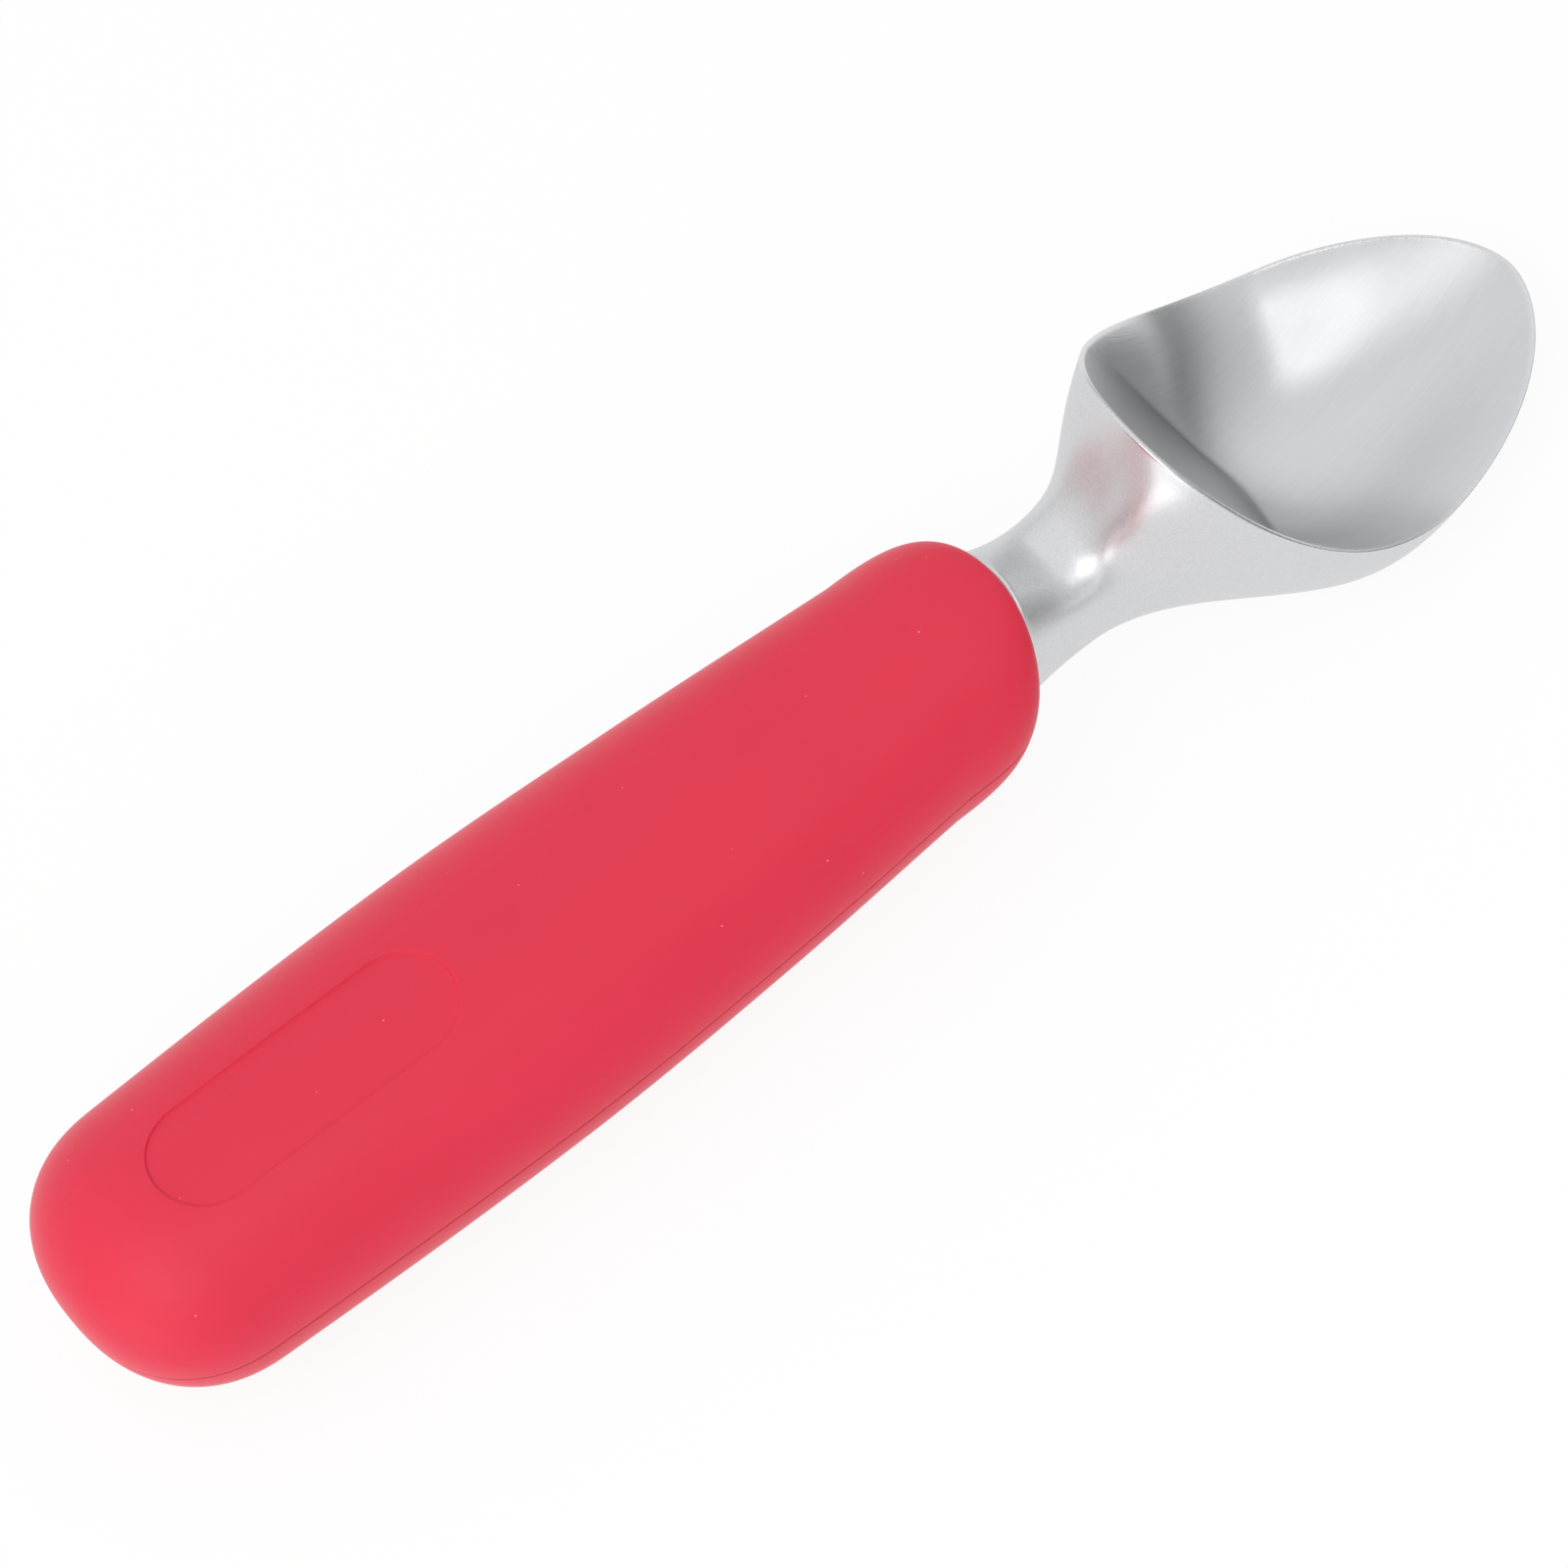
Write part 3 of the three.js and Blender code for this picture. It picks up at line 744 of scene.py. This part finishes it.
silicone, silicone_place = bare_finish("satin_red_silicone")
mottle_scale, grain_scale, dust_scale = 60.0, 3600.0, 260.0
mottle = speckle(silicone_place, mottle_scale, 3.0)
grain = speckle(silicone_place, grain_scale, 2.0, 0.6)
dust = silicone_place.node(
    "ShaderNodeTexVoronoi", {}, {"Vector": silicone_place, "Scale": dust_scale}, "Distance"
)
specks = ranged(dust, 0.02, 0.035, 1.0, 0.0)
in_parting = marked(silicone_place, "parting_line")
deep_red, clear_red = (0.68, 0.015, 0.048, 1), (0.75, 0.021, 0.06, 1)
dusty_red, painted_parting_shade = (0.86, 0.42, 0.45, 1), (0.25, 0.008, 0.018, 1)
red = tinted(mottle, deep_red, clear_red)
red = tinted(specks * 0.5, red, dusty_red)
# Painted shade: the groove of the parting line is painted dark red, in place of the shade that
# falls in it.
red = tinted(in_parting * 0.75, red, painted_parting_shade)
grip_relief = silicone_place.node(
    "ShaderNodeBump", {}, {"Strength": 0.3, "Distance": 0.00003, "Height": grain}
)
surface(
    silicone_place,
    {
        "Base Color": red,
        "Roughness": 0.42 + grain * 0.12 + mottle * 0.06,
        "IOR": 1.45,
        "Sheen Weight": 0.2,
        "Sheen Roughness": 0.4,
        "Sheen Tint": (1.0, 0.75, 0.78, 1),
        "Normal": grip_relief,
    },
)
grip_mesh.materials.append(silicone)
grip_piece = placed("silicone_grip", grip_mesh)
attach(grip_piece, "root")
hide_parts("grip_sleeve")


# Core shells: two hollow halves that close round the tang and give the soft grip its shape.
# Glass-filled black plastic, injection moulded, with ribs across the bar and bosses for the screws.
def dressed(node, material):
    """Gives a carried-over solid its finish."""
    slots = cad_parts[node].material_slots
    for slot in slots:
        slot.material = material


shell_plastic, shell_place = bare_finish("moulded_black_plastic")
spark = speckle(shell_place, 1800.0, 2.0, 0.7)
flow_marks = speckle(
    shell_place.node("ShaderNodeMapping", {}, {"Vector": shell_place, "Scale": (40, 160, 160)}), 1.0
)
shell_relief = shell_place.node(
    "ShaderNodeBump", {}, {"Strength": 0.25, "Distance": 0.00004, "Height": spark}
)
surface(
    shell_place,
    {
        "Base Color": tinted(flow_marks, (0.018, 0.018, 0.021, 1), (0.034, 0.034, 0.038, 1)),
        "Roughness": 0.5 + spark * 0.15,
        "Normal": shell_relief,
    },
)
dressed("core_upper", shell_plastic)
dressed("core_lower", shell_plastic)


# Neck gasket: a flat ring on the tang, pressed between the spigot and the core.
# Black nitrile rubber, punched from sheet, with the sheet's fine matt grain.
gasket_rubber, gasket_place = bare_finish("black_sheet_rubber")
sheet_grain = speckle(gasket_place, 2500.0, 3.0, 0.6)
gasket_relief = gasket_place.node(
    "ShaderNodeBump", {}, {"Strength": 0.3, "Distance": 0.00004, "Height": sheet_grain}
)
surface(
    gasket_place,
    {
        "Base Color": tinted(sheet_grain, (0.022, 0.022, 0.024, 1), (0.045, 0.045, 0.047, 1)),
        "Roughness": 0.7 + sheet_grain * 0.15,
        "Normal": gasket_relief,
    },
)
dressed("neck_gasket", gasket_rubber)


# Tang screws: two screws that clamp the lower shell and the tang to the upper shell.
# Steel wire, cold headed and rolled, with a dull bright zinc plating.
zinc, zinc_place = bare_finish("zinc_plated_steel")
plating = speckle(zinc_place, 1200.0, 3.0, 0.6)
surface(
    zinc_place,
    {
        "Base Color": tinted(plating, (0.5, 0.51, 0.53, 1), (0.66, 0.67, 0.69, 1)),
        "Metallic": 1.0,
        "Roughness": 0.28 + plating * 0.2,
    },
)
dressed("tang_screw_front", zinc)
dressed("tang_screw_rear", zinc)


# Studio: a white table in a pale room, with a small key lamp overhead and a broad fill lamp.
# A low strip and a low soft box draw bright lines on the neck and along the grip.
# The camera looks down on the scoop from the near side of its grip, through a long lens.
scene = bpy.context.scene
floor_half, floor_drop, floor_glow = 1.5, 0.00005, 0.9
floor_mesh = bpy.data.meshes.new("table")
floor_corners = [(-1, -1), (1, -1), (1, 1), (-1, 1)]
floor_mesh.from_pydata(
    [(x * floor_half, y * floor_half, -floor_drop) for x, y in floor_corners], [], [(0, 1, 2, 3)]
)
floor_finish, floor_place = bare_finish("white_table")
table_white = (0.93, 0.93, 0.93, 1)
floor_shade = floor_place.node("ShaderNodeBsdfDiffuse", {}, {"Color": table_white})
floor_white = floor_place.node("ShaderNodeEmission", {}, {"Color": (1, 1, 1, 1), "Strength": 1.0})
sight = floor_place.node("ShaderNodeLightPath", output="Is Camera Ray")
seen = (sight + sight.also("Is Glossy Ray") + sight.also("Is Transmission Ray")) * floor_glow
floor_mix = floor_place.node("ShaderNodeMixShader", {}, {0: seen, 1: floor_shade, 2: floor_white})
floor_place.node("ShaderNodeOutputMaterial", {}, {"Surface": floor_mix})
floor_mesh.materials.append(floor_finish)
floor = placed("table", floor_mesh)


def soft_lamp(name, azimuth, elevation, distance, width, height, radiance):
    """A soft box that faces the scoop from a bearing in degrees, as bright as its face is said."""
    azimuth, elevation = math.radians(azimuth), math.radians(elevation)
    lamp = bpy.data.lights.new(name, "AREA")
    lamp.shape = "RECTANGLE"
    lamp.size, lamp.size_y = width, height
    lamp.energy = radiance * 4 * width * height
    level = math.cos(elevation)
    toward = Vector(
        (math.cos(azimuth) * level, math.sin(azimuth) * level, math.sin(elevation))
    )
    stand = placed(name, lamp)
    stand.location = toward * distance
    stand.rotation_euler = toward.to_track_quat("Z", "Y").to_euler()


soft_lamp(
    "key_soft_box",
    azimuth=-80,
    elevation=75,
    distance=1.0,
    width=0.1,
    height=0.08,
    radiance=7.0,
)
soft_lamp(
    "fill_soft_box",
    azimuth=-150,
    elevation=54,
    distance=1.0,
    width=0.75,
    height=0.75,
    radiance=1.4,
)
soft_lamp(
    "strip_lamp",
    azimuth=-95,
    elevation=24,
    distance=0.9,
    width=1.6,
    height=0.05,
    radiance=2.1,
)
soft_lamp(
    "low_soft_box",
    azimuth=-157,
    elevation=6,
    distance=0.8,
    width=0.5,
    height=0.14,
    radiance=2.5,
)

room = bpy.data.worlds.new("pale_room")
scene.world = room
room.use_nodes = True
room.node_tree.nodes.clear()
sky = Flow(room.node_tree)
heading = sky.node("ShaderNodeTexCoord", output="Generated")
east = sky.node("ShaderNodeSeparateXYZ", {}, {0: heading})
north, height = east.also("Y"), east.also("Z")
far_side = ranged(north, -0.6, 0.4)
overhead = ranged(height, 0.1, 0.9)
open_end = ranged(east, 0.15, 0.9) * ranged(height, 0.15, 0.85, 1.0, 0.0)
boom = ranged(height * 0.85 - east * 0.53, 0.78, 0.98)
near_level, far_gain, overhead_gain, end_loss, boom_loss = 0.56, 0.28, 0.18, 0.35, 0.16
level = near_level + far_side * far_gain + overhead * overhead_gain
level = level - open_end * end_loss - boom * boom_loss
room_light = sky.node(
    "ShaderNodeBackground", {}, {"Color": (1, 1, 1, 1), "Strength": level}
)
sky.node("ShaderNodeOutputWorld", {}, {"Surface": room_light})

view_tilt, view_back, handle_rise = math.radians(27), math.radians(10), math.radians(36.87)
view_target = Vector((-0.0024, 0.00012, 0.01307))
view_distance, focal_pixels, image_pixels, sensor = 0.9, 8775, 1600, 36
toward = Vector(
    (
        -math.sin(view_back),
        -math.sin(view_tilt) * math.cos(view_back),
        math.cos(view_tilt) * math.cos(view_back),
    )
).normalized()
along = (Vector((1, 0, 0)) - toward * toward.x).normalized()
across = toward.cross(along)
right = along * math.cos(handle_rise) - across * math.sin(handle_rise)
up = along * math.sin(handle_rise) + across * math.cos(handle_rise)
lens = bpy.data.cameras.new("long_lens")
lens.sensor_width = sensor
lens.lens = focal_pixels / image_pixels * sensor
lens.clip_start, lens.clip_end = 0.05, 20
camera = placed("long_lens", lens)
camera.matrix_world = Matrix.Translation(view_target + toward * view_distance) @ Matrix(
    (right, up, toward)
).transposed().to_4x4()
scene.camera = camera
scene.view_settings.view_transform = "Standard"
